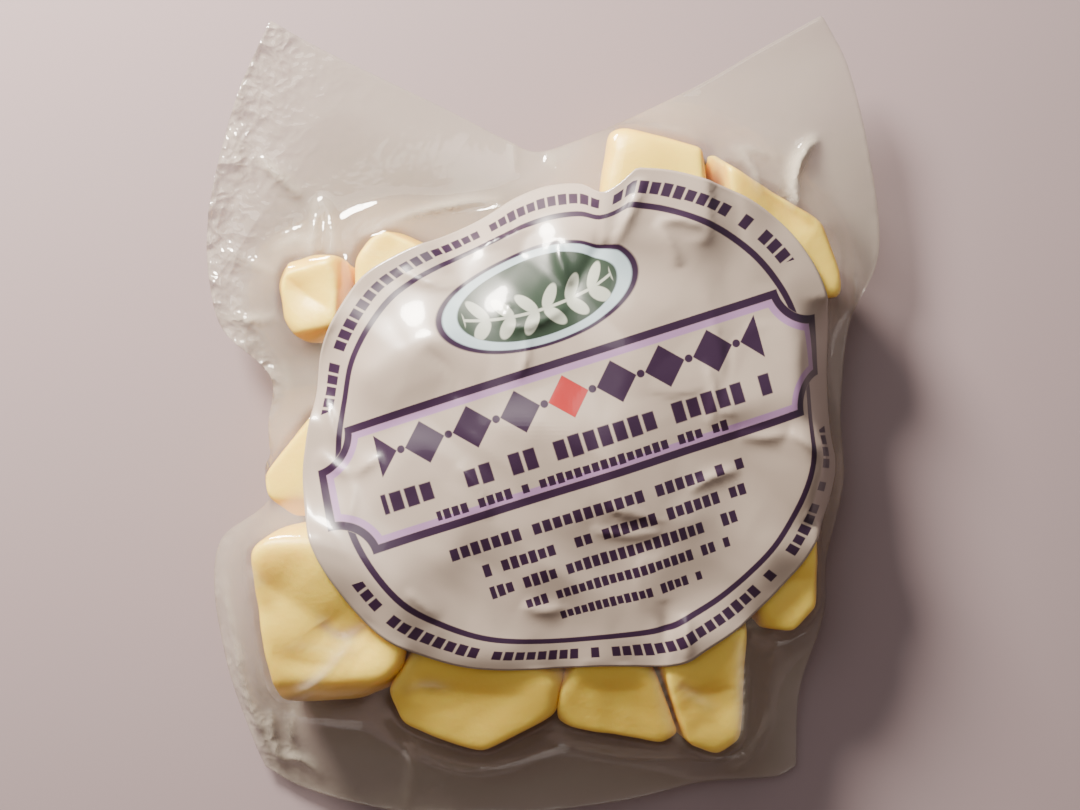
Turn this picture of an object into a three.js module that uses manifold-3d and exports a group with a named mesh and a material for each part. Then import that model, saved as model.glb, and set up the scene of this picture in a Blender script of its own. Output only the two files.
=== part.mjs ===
// Clear vacuum pouch of cheddar chunks with an oval paper label, lying on its back.
// Millimetres, +Z up, +Y towards the pouch's dipped top edge, origin on the floor under its middle.

import * as THREE from 'three';
import { mergeVertices } from 'three/addons/utils/BufferGeometryUtils.js';
import Module from 'manifold-3d';

// Pouch film
const filmSheet = 0.7;            // thickness of the two skins where they lie together in the margin
const cellsAcross = 42;           // grid cells from the left edge to the right edge
const cellsUp = 48;               // grid cells from the bottom edge to the top edge
const hugRadius = 8;              // curve that the vacuum gives a skin where it spans a gap
const drapeSteps = 500;
const edgeWave = { height: 0.8, wavesUp: 7, wavesAcross: 5 };

// Chunks of cheese
const cornerPower = 24;           // higher is sharper corners
const flatSpot = 0.6;             // height under which a chunk's underside lies flat on the floor
const sideDraft = 0.22;           // most that a cut side leans, as a slope
const draftShare = 0.3;           // share of that lean that is taken in from the corners
const topLean = 0.14;             // most that a cut top leans, as a slope, besides the crown
const crown = { x: 0, y: 15, radius: 250 };   // the pile is a low dome: tops lean away from its middle
const cornerCuts = 5;             // slanting cuts taken off each chunk
const cutSwing = 0.5;             // most that such a cut turns from its even place, in radians
const cutRise = { middle: 0.7, spread: 0.5 };   // its slope: 0 is upright
const cutBite = { middle: 1.9, spread: 1.2 };   // how deep it goes
const highestSkin = 1.4;          // no chunk's skin lies farther from its middle, in half heights
const halvings = 24;

// Label
const labelRim = [[17.5, 47.5], [24, 47], [31.5, 45], [39, 42], [45.5, 37.5], [50, 32.5], [53.5, 26.5], [55.5, 19],
  [55.5, 9], [56, -3], [57, -8.5], [55.5, -15.5], [50.5, -25.5], [45, -32], [38, -38.5], [30.5, -43.5],
  [27.5, -45.5], [22.5, -46.5], [11, -46.5], [-2, -47], [-14.5, -46.5], [-23, -44], [-31, -40], [-38.5, -31.5],
  [-43.5, -22.5], [-46, -11.5], [-45.5, -4], [-44, 5], [-43, 13.5], [-39, 22], [-34.5, 28], [-28, 32],
  [-20, 35.5], [-12, 39.5], [-5, 44], [1, 46], [7, 45.5], [11, 43], [13.5, 44]];
const labelPaper = 0.35;
const labelStiffness = 6;         // how many times flatter the film spans a gap under the paper
const labelGap = 0.3;             // air left between paper and film
const labelSides = 72;

// Edges of the flat pouch as it lies, each point [x, y, z]; the corners are shared
const bottomLeft = [-56.4, -70.3, 2];
const bottomRight = [51.5, -70.1, 2];
const topLeft = [-53.2, 78.2, 15];
const topRight = [54.5, 79.4, 14];
const leftEdge = [bottomLeft, [-58.6, -64.8, 3], [-63.7, -48.2, 5], [-65.8, -31.8, 7], [-64.1, -23.4, 7.5],
  [-54.6, -15.3, 8.5], [-54.5, -0.8, 9], [-54.2, 8.6, 8.5], [-63.9, 18.2, 7.5], [-66.6, 28.1, 8],
  [-66.6, 39.6, 9], [-61.8, 59.9, 11], topLeft];
const rightEdge = [bottomRight, [51.8, -54.4, 4], [56.3, -38.3, 6.5], [56.6, -27.8, 7.5], [59.4, -12.1, 10],
  [59.2, 3.2, 9], [61.1, 19.7, 8.5], [66.6, 32.8, 9], [64.4, 53.7, 10], [59.6, 70.7, 12], topRight];
const topEdge = [topLeft, [-44.7, 73.6, 13], [-18.4, 61.4, 10], [-7.4, 55.9, 9], [-1.6, 53.5, 9],
  [6.4, 55.7, 9], [30.4, 66.2, 11], [43, 73.3, 12.5], topRight];
const bottomEdge = [bottomLeft, [-49.5, -74.2, 2], [-28.9, -78.9, 4], [-4.7, -79.2, 3.5],
  [16.6, -76.7, 4], [31.9, -73.3, 3], [48.3, -72.1, 2], bottomRight];

// Each chunk: height, its corners in plan, and cuts of its own as [facing in degrees, rise, bite];
// the first ten show beside the label, the rest lie under it
const chunks = [
  [27, [[11, 45], [13, 55], [20, 57.3], [31.3, 54.3], [33, 44], [33.5, 33], [11, 33]], [75, 2.9, 2]],
  [22, [[31.5, 56.5], [38.5, 50.5], [49, 44], [54.3, 40.3], [57, 34], [57, 24], [34.5, 22], [33.8, 36]]],
  [18, [[-53, 27.5], [-52.5, 22.5], [-46.5, 15], [-37, 16], [-36.5, 31], [-45, 33], [-51.5, 31.5]]],
  [20, [[-36.8, 31.5], [-34.5, 35.2], [-28, 37], [-22, 35], [-13.5, 31], [-13.5, 20], [-36, 17.5]]],
  [19, [[-45.5, 2.5], [-54.3, -8.5], [-52.7, -14.5], [-48.5, -18.7], [-33, -17.5], [-33, 2]]],
  [25, [[-56.2, -25], [-50.5, -20.5], [-39, -18.5], [-26.5, -24], [-26, -50], [-33, -55], [-51, -55.5]],
    [270, 0.62, 6], [268, 2.9, 1.6]],
  [20.5, [[-31, -52.5], [-28.5, -58.5], [-20, -62.5], [-11.5, -65.5], [2.5, -58], [5, -46], [-8, -40.5], [-25, -42]],
    [262, 2.8, 4.6]],
  [19, [[3, -58], [11, -62], [22, -64], [26.5, -61], [19.5, -43], [5.5, -42]], [275, 2.8, 4.2]],
  [20, [[19.5, -45], [26.5, -62.5], [34, -65.5], [39.2, -61], [40.5, -42], [22, -38.5]], [282, 2.5, 4.2]],
  [20, [[54.7, -20], [54.8, -28], [53.8, -35], [49, -40], [41, -39.8], [37.5, -24], [45, -18]], [300, 2.8, 2]],
  [23, [[33, -2], [50.5, 0], [54.5, -7], [51.5, -18], [35, -19.5]]],
  [24, [[35, 21.5], [47.5, 21], [49, 8], [48.5, 0.5], [33.5, -1]]],
  [20, [[-12, 33.5], [-5, 36.5], [5, 37.5], [10.5, 30], [4, 24], [-12.5, 24]]],
  [25, block(-21.5, 6, 11, 11, 30)],
  [25.5, block(2.5, 12.5, 11, 10.5, -14)],
  [26.5, block(23.5, 16, 10, 11.5, 14)],
  [25.5, block(-21.5, -14.9, 10.5, 10.5, -25)],
  [27, block(0.5, -10.4, 11.5, 11.5, 10)],
  [26, block(21.8, -8.6, 10.5, 11.5, -12)],
  [22.5, block(-15.4, -32.4, 9.5, 9, 16), [270, 2.9, 2]],
  [23, block(5.2, -31.5, 10.5, 10, -8), [265, 2.9, 2]],
  [23, block(26, -29.5, 10, 10, 20), [285, 2.9, 2]],
];

const cheese = new THREE.MeshStandardMaterial({ color: 0xe9dda0, roughness: 0.45, metalness: 0 });
const paper = new THREE.MeshStandardMaterial({ color: 0xe6d9d2, roughness: 0.35, metalness: 0 });

const group = new THREE.Group();
const drape = drapePouch();
addMesh('pouch', slabGeometry(drape.sheet, drape.upper, drape.lower, drape.row), cheese);
addMesh('label', await labelGeometry(drape), paper);

function addMesh(name, geometry, material) {
  const mesh = new THREE.Mesh(geometry, material);
  mesh.name = name;
  group.add(mesh);
}

// A number between -1 and 1 that looks random and is the same each time
function scatter(piece, draw) {
  const wave = Math.sin(piece * 12.9898 + draw * 78.233) * 43758.5453;
  return 2 * (wave - Math.floor(wave)) - 1;
}

// Corners of a plain block, turned by so many degrees
function block(x, y, halfLong, halfWide, turn) {
  const middle = new THREE.Vector2(x, y);
  return [[-1, -1], [1, -1], [1, 1], [-1, 1]].map(([a, b]) => {
    const corner = new THREE.Vector2(x + a * halfLong, y + b * halfWide);
    return corner.rotateAround(middle, THREE.MathUtils.degToRad(turn)).toArray();
  });
}

// One chunk as its middle, half height, corners and faces, each face [nx, ny, nz, distance from the middle]:
// a flat underside, a leaning top, the cut sides through the corners and some slanting cuts
function chunkShape([height, corners, ...ownCuts], piece) {
  const half = height / 2;
  const [x, y] = [0, 1].map(axis => corners.reduce((sum, corner) => sum + corner[axis], 0) / corners.length);
  const faces = [[0, 0, -1, half]];
  const leanX = topLean * scatter(piece, 1) + (x - crown.x) / crown.radius;
  const leanY = topLean * scatter(piece, 2) + (y - crown.y) / crown.radius;
  addFace(faces, leanX, leanY, 1, half);
  corners.forEach((corner, side) => {
    const next = corners[(side + 1) % corners.length];
    const edge = new THREE.Vector2(next[0] - corner[0], next[1] - corner[1]).normalize();
    const signed = edge.y * (corner[0] - x) - edge.x * (corner[1] - y);
    const out = Math.sign(signed);
    const draft = sideDraft * scatter(piece, 7 + side);
    const reach = Math.abs(signed) - draftShare * Math.abs(draft) * half;
    addFace(faces, out * edge.y, -out * edge.x, draft, reach / Math.hypot(1, draft));
  });
  const cutCorner = (facing, rise, depth) => {
    const [along, across] = [Math.cos(facing), Math.sin(facing)];
    const support = Math.max(...corners.map(corner => along * (corner[0] - x) + across * (corner[1] - y)));
    addFace(faces, along, across, rise, (support + rise * half) / Math.hypot(1, rise) - depth);
  };
  for (let cut = 0; cut < cornerCuts; cut++) {
    const facing = (cut + 0.5) * 2 * Math.PI / cornerCuts + cutSwing * scatter(piece, 11 + cut);
    const rise = cutRise.middle + cutRise.spread * scatter(piece, 17 + cut);
    cutCorner(facing, rise, cutBite.middle + cutBite.spread * scatter(piece, 23 + cut));
  }
  for (const [facing, rise, depth] of ownCuts) cutCorner(THREE.MathUtils.degToRad(facing), rise, depth);
  return { x, y, half, faces };
}

function addFace(faces, x, y, z, distance) {
  const size = Math.hypot(x, y, z);
  faces.push([x / size, y / size, z / size, distance]);
}

// How far out a point lies in a chunk: under 1 inside, 1 on its skin, a smooth blend of all the faces
function reachIn(faces, x, y, z) {
  let sum = 0;
  for (const [nx, ny, nz, distance] of faces) {
    sum += Math.max(0, (nx * x + ny * y + nz * z) / distance) ** cornerPower;
  }
  return sum;
}

// Height of a chunk's skin over (x, y), going up (+1) or down (-1) from its middle, or null beside it
function skinHeight({ x: middleX, y: middleY, half, faces }, x, y, way) {
  const dx = x - middleX;
  const dy = y - middleY;
  if (reachIn(faces, dx, dy, 0) > 1) return null;
  let inside = 0;
  let outside = half * highestSkin;
  for (let step = 0; step < halvings; step++) {
    const middle = (inside + outside) / 2;
    if (reachIn(faces, dx, dy, way * middle) < 1) inside = middle;
    else outside = middle;
  }
  return half + way * inside;
}

// Points along an edge, evenly spaced by length
function edgePoints(points, cells) {
  const curve = new THREE.CatmullRomCurve3(points.map(point => new THREE.Vector3(...point)));
  curve.arcLengthDivisions = 800;
  return curve.getSpacedPoints(cells);
}

// The flat sheet that the four edges span: left to right plus bottom to top less the corners' own span
function sheetGrid() {
  const left = edgePoints(leftEdge, cellsUp);
  const right = edgePoints(rightEdge, cellsUp);
  const top = edgePoints(topEdge, cellsAcross);
  const bottom = edgePoints(bottomEdge, cellsAcross);
  const grid = [];
  for (let j = 0; j <= cellsUp; j++) {
    const t = j / cellsUp;
    for (let i = 0; i <= cellsAcross; i++) {
      const s = i / cellsAcross;
      const across = left[j].clone().lerp(right[j], s);
      const up = bottom[i].clone().lerp(top[i], t);
      const corners = left[0].clone().lerp(right[0], s).lerp(left[cellsUp].clone().lerp(right[cellsUp], s), t);
      const point = across.add(up).sub(corners);
      const wave = Math.sin(2 * Math.PI * edgeWave.wavesUp * t + 5 * s)
        + Math.sin(2 * Math.PI * edgeWave.wavesAcross * s + 4 * t);
      point.z = Math.max(filmSheet, point.z + edgeWave.height * wave);
      grid.push(point);
    }
  }
  return grid;
}

// Upper and lower skin over the chunks: each rests on them, sinks into the gaps with the vacuum's
// curve and joins the other skin where nothing is between
function drapePouch() {
  const row = cellsAcross + 1;
  const sheet = sheetGrid();
  const shapes = chunks.map(chunkShape);
  const over = sheet.map(() => -Infinity);
  const under = sheet.map(() => Infinity);
  sheet.forEach((point, at) => {
    shapes.forEach(shape => {
      const high = skinHeight(shape, point.x, point.y, 1);
      if (high === null) return;
      const low = skinHeight(shape, point.x, point.y, -1);
      over[at] = Math.max(over[at], high);
      under[at] = Math.min(under[at], Math.max(0, low - flatSpot));
    });
  });
  const upper = sheet.map((point, at) => Math.max(point.z + filmSheet / 2, over[at]));
  const lower = sheet.map((point, at) => Math.min(point.z - filmSheet / 2, under[at]));
  const cell = (rightEdge[0][0] - leftEdge[0][0]) / cellsAcross;
  const sink = cell * cell / (4 * hugRadius);
  const sinkUnderPaper = sink / labelStiffness;
  const outline = labelOutline();
  const papered = sheet.map(point => isInside(outline, point));
  for (let step = 0; step < drapeSteps; step++) {
    for (let j = 1; j < cellsUp; j++) {
      for (let i = 1; i < cellsAcross; i++) {
        const at = j * row + i;
        const near = [at - 1, at + 1, at - row, at + row];
        const meanUpper = near.reduce((sum, next) => sum + upper[next], 0) / 4;
        const meanLower = near.reduce((sum, next) => sum + lower[next], 0) / 4;
        upper[at] = Math.max(over[at], meanUpper - (papered[at] ? sinkUnderPaper : sink));
        lower[at] = Math.max(0, Math.min(under[at], meanLower + sink));
        if (upper[at] - lower[at] < filmSheet) {
          const middle = Math.max(filmSheet / 2, (meanUpper + meanLower) / 2);
          upper[at] = Math.max(over[at], middle + filmSheet / 2);
          lower[at] = Math.min(under[at], middle - filmSheet / 2);
        }
      }
    }
  }
  return { sheet, upper, lower, row };
}

// Closed solid between a high and a low grid of points that share their x and y
function slabGeometry(sheet, high, low, row) {
  const positions = [];
  const corner = (at, heights) => positions.push(sheet[at].x, sheet[at].y, heights[at]);
  const triangle = (a, b, c, heightsA, heightsB, heightsC) => {
    corner(a, heightsA);
    corner(b, heightsB);
    corner(c, heightsC);
  };
  for (let j = 0; j < cellsUp; j++) {
    for (let i = 0; i < cellsAcross; i++) {
      const at = j * row + i;
      const [a, b, c, d] = [at, at + 1, at + row + 1, at + row];
      const rising = (i + j) % 2 === 0;
      for (const [p, q, r] of rising ? [[a, b, c], [a, c, d]] : [[a, b, d], [b, c, d]]) {
        triangle(p, q, r, high, high, high);
        triangle(p, r, q, low, low, low);
      }
    }
  }
  const wall = (a, b) => {
    triangle(a, b, b, low, low, high);
    triangle(a, b, a, low, high, high);
  };
  for (let i = 0; i < cellsAcross; i++) {
    wall(i, i + 1);
    wall(cellsUp * row + i + 1, cellsUp * row + i);
  }
  for (let j = 0; j < cellsUp; j++) {
    wall((j + 1) * row, j * row);
    wall(j * row + cellsAcross, (j + 1) * row + cellsAcross);
  }
  const geometry = new THREE.BufferGeometry();
  geometry.setAttribute('position', new THREE.Float32BufferAttribute(positions, 3));
  return mergeVertices(geometry, 1e-4);
}

// The label's outline: a smooth closed line through its rim points
function labelOutline() {
  const curve = new THREE.CatmullRomCurve3(labelRim.map(([x, y]) => new THREE.Vector3(x, y, 0)), true);
  return curve.getSpacedPoints(labelSides).slice(0, labelSides);
}

// Whether a point lies in the outline: a ray from it crosses the outline an odd number of times
function isInside(outline, { x, y }) {
  let inside = false;
  outline.forEach((a, side) => {
    const b = outline[(side + 1) % outline.length];
    if (a.y > y !== b.y > y && x < a.x + (b.x - a.x) * (y - a.y) / (b.y - a.y)) inside = !inside;
  });
  return inside;
}

// Paper that follows the upper skin, cut to the label's outline
async function labelGeometry({ sheet, upper, row }) {
  const wasm = await Module();
  wasm.setup();
  const low = upper.map(height => height + labelGap);
  const high = low.map(height => height + labelPaper);
  const draped = slabGeometry(sheet, high, low, row);
  const tallest = Math.max(...high) + 1;
  const cutter = new THREE.ExtrudeGeometry(new THREE.Shape(labelOutline()), { depth: tallest, bevelEnabled: false });
  return fromSolid(toSolid(wasm, draped).intersect(toSolid(wasm, cutter)));
}

function toSolid(wasm, geometry) {
  geometry.deleteAttribute('normal');
  geometry.deleteAttribute('uv');
  const merged = mergeVertices(geometry, 1e-4);
  return new wasm.Manifold(new wasm.Mesh({
    numProp: 3,
    vertProperties: new Float32Array(merged.attributes.position.array),
    triVerts: new Uint32Array(merged.index.array),
  }));
}

function fromSolid(solid) {
  const mesh = solid.getMesh();
  const geometry = new THREE.BufferGeometry();
  geometry.setAttribute('position', new THREE.BufferAttribute(new Float32Array(mesh.vertProperties), 3));
  geometry.setIndex(new THREE.BufferAttribute(new Uint32Array(mesh.triVerts), 1));
  return geometry;
}

export default group;
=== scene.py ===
# A clear vacuum pouch of cheddar chunks with an oval paper label, lying on its back.
# Shapes are worked out in millimetres on grids and put into the meshes in metres.
import math
import bpy
import numpy as np
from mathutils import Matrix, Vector


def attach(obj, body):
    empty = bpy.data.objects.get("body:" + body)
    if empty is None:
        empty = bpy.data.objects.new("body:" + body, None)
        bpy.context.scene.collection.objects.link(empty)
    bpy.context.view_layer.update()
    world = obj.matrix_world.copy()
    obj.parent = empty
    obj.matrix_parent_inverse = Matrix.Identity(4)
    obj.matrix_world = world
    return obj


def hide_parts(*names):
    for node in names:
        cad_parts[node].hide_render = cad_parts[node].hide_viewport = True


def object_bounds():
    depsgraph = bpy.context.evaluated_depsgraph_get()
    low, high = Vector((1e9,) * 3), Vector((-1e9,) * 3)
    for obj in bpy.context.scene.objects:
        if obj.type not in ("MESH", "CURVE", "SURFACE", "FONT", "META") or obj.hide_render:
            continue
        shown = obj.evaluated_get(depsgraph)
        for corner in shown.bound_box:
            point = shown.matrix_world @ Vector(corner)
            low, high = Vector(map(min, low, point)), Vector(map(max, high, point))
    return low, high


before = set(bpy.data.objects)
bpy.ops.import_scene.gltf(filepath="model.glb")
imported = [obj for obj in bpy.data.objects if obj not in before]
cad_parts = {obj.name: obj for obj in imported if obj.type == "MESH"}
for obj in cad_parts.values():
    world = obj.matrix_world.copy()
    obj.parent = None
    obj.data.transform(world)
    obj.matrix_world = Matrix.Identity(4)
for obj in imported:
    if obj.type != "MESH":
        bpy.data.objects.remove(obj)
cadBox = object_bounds()
mm = 0.001


# A number between -1 and 1 that looks random and is the same each time
def scatter(piece, draw):
    wave = math.sin(piece * 12.9898 + draw * 78.233) * 43758.5453
    return 2 * (wave - math.floor(wave)) - 1


# Slow waves in space, about -1 to 1: the sum of a few sines along seeded directions, their wavelengths
# from three to five quarters of the given one
def slowWaves(x, y, z, wavelength, seed):
    total = np.zeros(np.broadcast(x, y, z).shape)
    count = 7
    for wave in range(count):
        ax, ay, az = (scatter(seed, 3 * wave + axis) for axis in range(3))
        size = math.sqrt(ax * ax + ay * ay + az * az) + 0.01
        pull = 2 * math.pi / (wavelength * (0.75 + 0.5 * wave / count) * size)
        total += np.sin(pull * (ax * x + ay * y + az * z) + 9 * scatter(seed, 50 + wave))
    return total / math.sqrt(count)


# Flat facets with straight ridges: a seeded height at each corner of a lattice, mixed in a straight line
# over the two triangles of each cell
def facets(x, y, size, seed):
    x = x / size + 0.35 * np.sin(y / size * 1.9 + seed)
    y = y / size + 0.35 * np.sin(x * 1.7 + 2 * seed)
    i, j = np.floor(x), np.floor(y)
    fx, fy = x - i, y - j

    def corner(a, b):
        wave = np.sin(a * 127.1 + b * 311.7 + seed * 17.3) * 43758.5453
        return 2 * (wave - np.floor(wave)) - 1

    near = corner(i, j) + fx * (corner(i + 1, j) - corner(i, j)) + fy * (corner(i, j + 1) - corner(i, j))
    far = corner(i + 1, j + 1) + (1 - fx) * (corner(i, j + 1) - corner(i + 1, j + 1))
    far += (1 - fy) * (corner(i + 1, j) - corner(i + 1, j + 1))
    return np.where(fx + fy < 1, near, far)


# A smooth mesh object in metres from points in millimetres
def gridObject(name, verts, faces):
    mesh = bpy.data.meshes.new(name)
    mesh.from_pydata((verts * mm).astype(float), [], faces)
    mesh.update()
    mesh.polygons.foreach_set("use_smooth", np.full(len(mesh.polygons), True))
    obj = bpy.data.objects.new(name, mesh)
    bpy.context.scene.collection.objects.link(obj)
    return obj


# Quads between neighbouring rows of numbered points; the last column joins the first when it goes round
def gridQuads(numbers, goesRound=False):
    right = np.roll(numbers, -1, axis=1) if goesRound else numbers[:, 1:]
    left = numbers if goesRound else numbers[:, :-1]
    quads = np.stack([left[:-1], right[:-1], right[1:], left[1:]], axis=-1)
    return quads.reshape(-1, 4)


# A smooth line through an edge's points, evenly spaced: between two points a cubic whose slopes come
# from the neighbours, timed by the square root of their distance
def edgeLine(points, count):
    pts = np.array(points, float)
    ends = np.vstack([2 * pts[0] - pts[1], pts, 2 * pts[-1] - pts[-2]])
    gap = np.sqrt(np.linalg.norm(np.diff(ends, axis=0), axis=1))
    t = np.linspace(0, 1, 40, endpoint=False)[:, None]      # places on each cubic
    dense = []
    for at in range(1, len(ends) - 2):
        a, b, c, d = ends[at - 1:at + 3]
        ga, gb, gc = gap[at - 1:at + 2]
        slopeB = ((b - a) / ga - (c - a) / (ga + gb) + (c - b) / gb) * gb
        slopeC = ((c - b) / gb - (d - b) / (gb + gc) + (d - c) / gc) * gb
        cubic = (2 * t ** 3 - 3 * t ** 2 + 1) * b + (t ** 3 - 2 * t ** 2 + t) * slopeB
        cubic += (3 * t ** 2 - 2 * t ** 3) * c + (t ** 3 - t ** 2) * slopeC
        dense.append(cubic)
    line = np.vstack(dense + [pts[-1:]])
    along = np.concatenate([[0], np.cumsum(np.linalg.norm(np.diff(line, axis=0), axis=1))])
    even = np.linspace(0, along[-1], count + 1)
    return np.stack([np.interp(even, along, line[:, axis]) for axis in range(3)], axis=-1)


# A sharp fold along a bent line: height times exp(-distance over half width), rounded at the crest, and
# tapered at both ends by a power of the sine of how far along it lies
def creaseField(x, y, start, bend, end, height, width):
    steps = 24                  # points along the line
    crest = 0.35 * width        # radius that rounds the fold's top
    t = np.linspace(0, 1, steps)
    line = [(1 - t) ** 2 * start[a] + 2 * t * (1 - t) * bend[a] + t ** 2 * end[a] for a in (0, 1)]
    best = np.full(x.shape, np.inf)
    place = np.zeros(x.shape)
    for k in range(steps - 1):
        ax, ay = line[0][k], line[1][k]
        bx, by = line[0][k + 1] - ax, line[1][k + 1] - ay
        u = np.clip(((x - ax) * bx + (y - ay) * by) / (bx * bx + by * by), 0, 1)
        away = np.hypot(x - ax - u * bx, y - ay - u * by)
        closer = away < best
        best = np.where(closer, away, best)
        place = np.where(closer, t[k] + u * (t[k + 1] - t[k]), place)
    taper = np.sin(math.pi * np.clip(place, 0.001, 0.999)) ** 0.6
    rounded = np.sqrt(best ** 2 + crest ** 2) - crest
    return height * taper * np.exp(-rounded / width)


# Such folds, listed as start, bend, end, height and half width, added to a field one after another
def addCreases(field, x, y, rows):
    return sum((creaseField(x, y, *row) for row in rows), field)


# The highest of each cell and its eight neighbours
def widen(field):
    padded = np.pad(field, 1, mode="edge")
    up, across = field.shape
    return np.max([padded[j:j + up, i:i + across] for j in range(3) for i in range(3)], axis=0)


# The mean of each cell's four neighbours
def neighbourMean(field):
    return (field[:-2, 1:-1] + field[2:, 1:-1] + field[1:-1, :-2] + field[1:-1, 2:]) / 4


# Each cell becomes half itself and half the mean of its neighbours, so many times
def blur(field, times):
    for turn in range(times):
        field = neighbourMean(np.pad(field, 1, mode="edge")) / 2 + field / 2
    return field


# Corners of a plain block, turned by so many degrees
def block(x, y, halfLong, halfWide, turn):
    turnCos, turnSin = math.cos(math.radians(turn)), math.sin(math.radians(turn))
    signs = ((-1, -1), (1, -1), (1, 1), (-1, 1))
    return [[x + a * halfLong * turnCos - b * halfWide * turnSin,
             y + a * halfLong * turnSin + b * halfWide * turnCos] for a, b in signs]


# The cheese: height, corners in plan, and cuts of its own as (facing in degrees, rise, bite); the first
# ten show beside the label, the rest lie under it
chunks = [
    [27, [[11, 45], [13, 55], [20, 57.3], [31.3, 54.3], [33, 44], [33.5, 33], [11, 33]], [75, 2.9, 2]],
    [22, [[31.5, 56.5], [38.5, 50.5], [49, 44], [54.3, 40.3], [57, 34], [57, 24], [34.5, 22], [33.8, 36]]],
    [18, [[-53, 27.5], [-52.5, 22.5], [-46.5, 15], [-37, 16], [-36.5, 31], [-45, 33], [-51.5, 31.5]]],
    [20, [[-36.8, 31.5], [-34.5, 35.2], [-28, 37], [-22, 35], [-13.5, 31], [-13.5, 20], [-36, 17.5]]],
    [19, [[-45.5, 2.5], [-54.3, -8.5], [-52.7, -14.5], [-48.5, -18.7], [-33, -17.5], [-33, 2]]],
    [25, [[-56.2, -25], [-50.5, -20.5], [-39, -18.5], [-26.5, -24], [-26, -50], [-33, -55], [-51, -55.5]],
     [270, 0.62, 6], [268, 2.9, 1.6]],
    [20.5, [[-31, -52.5], [-28.5, -58.5], [-20, -62.5], [-11.5, -65.5], [2.5, -58], [5, -46], [-8, -40.5],
            [-25, -42]], [262, 2.8, 4.6]],
    [19, [[3, -58], [11, -62], [22, -64], [26.5, -61], [19.5, -43], [5.5, -42]], [275, 2.8, 4.2]],
    [20, [[19.5, -45], [26.5, -62.5], [34, -65.5], [39.2, -61], [40.5, -36], [22, -35.5]], [282, 2.5, 3.4]],
    [20, [[54.7, -20], [54.8, -28], [53.8, -35], [49, -40], [41, -39.8], [37.5, -24], [45, -18]],
     [300, 2.8, 2]],
    [23, [[33, -2], [50.5, 0], [54.5, -7], [51.5, -18], [35, -19.5]]],
    [24, [[35, 21.5], [47.5, 21], [49, 8], [48.5, 0.5], [33.5, -1]]],
    [20, [[-12, 33.5], [-5, 36.5], [5, 37.5], [10.5, 30], [4, 24], [-12.5, 24]]],
    [25, block(-21.5, 6, 11, 11, 30)],
    [25.5, block(2.5, 12.5, 11, 10.5, -14)],
    [26.5, block(23.5, 16, 10, 11.5, 14)],
    [25.5, block(-21.5, -14.9, 10.5, 10.5, -25)],
    [27, block(0.5, -10.4, 11.5, 11.5, 10)],
    [26, block(21.8, -8.6, 10.5, 11.5, -12)],
    [22.5, block(-15.4, -32.4, 9.5, 9, 16), [270, 2.9, 2]],
    [23, block(5.2, -31.5, 10.5, 10, -8), [265, 2.9, 2]],
    [23, block(26, -29.5, 10, 10, 20), [285, 2.9, 2]],
]
cheeseCut = {
    "cornerPower": 24,      # higher is sharper corners
    "sideDraft": 0.22,      # most that a cut side leans, as a slope
    "draftShare": 0.3,      # share of that lean that is taken in from the corners
    "topLean": 0.14,        # most that a cut top leans, as a slope, besides the crown
    "crown": (0, 15),       # middle of the low dome that the pile makes: tops lean away from it
    "crownRadius": 250,
    "cornerCuts": 5,        # slanting cuts taken off each chunk
    "cutSwing": 0.5,        # most that such a cut turns from its even place, in radians
    "cutRise": (0.7, 0.5),  # its slope, and how much that varies
    "bite": (1.9, 1.2),     # how deep it goes, and how much that varies
    "floorGap": 0.35,       # film under the cheese
    "swell": 0.35,          # slow unevenness of the cut faces
    "waves": [(17, 1, 1), (6, 0.35, 41)],       # its wavelengths, their shares and first seeds
    "dents": [              # x, y, radius, depth
        (-48, -31, 6, 0.4), (-38, -37, 6, 1.5), (-43, -43, 5, 0.7), (-33, -42, 5, 0.8), (25, 48, 6, 0.5),
        (45, 38, 5, 0.6), (-14, -55, 7, 0.6), (-22, -54, 5, 0.5), (14, -56, 6, 0.5), (33, -55, 5, 0.8),
        (48, -34, 5, 0.6), (-46, 25, 5, 0.7), (-26, 33, 5, 0.5)],
    "grooves": [            # start, bend and end in x and y, depth, half width
        [(-57, -28), (-48, -33), (-40, -40), 0.6, 2.6],
        [(-42, -38), (-38, -45), (-32, -37), 1.2, 1.4],
        [(-52, -44), (-46, -47), (-38, -46), 0.5, 1.6],
        [(-24, -50), (-14, -53), (-3, -52), 0.6, 1.8],
        [(7, -50), (13, -53), (20, -51), 0.5, 1.6],
        [(26, -50), (31, -54), (37, -51), 0.9, 1.3],
        [(43, -30), (48, -31), (53, -30), 0.6, 1.5],
        [(38, 48), (44, 41), (52, 37), 0.7, 1.4],
        [(-50, 28), (-46, 24), (-41, 22), 0.7, 1.4]],
    "draws": {"lean": 1, "side": 7, "swing": 11, "rise": 17, "bite": 23},   # the first of each kind
    "around": 160,          # points round each chunk, and from pole to pole
    "down": 90,
    "halvings": 22,
}


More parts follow.
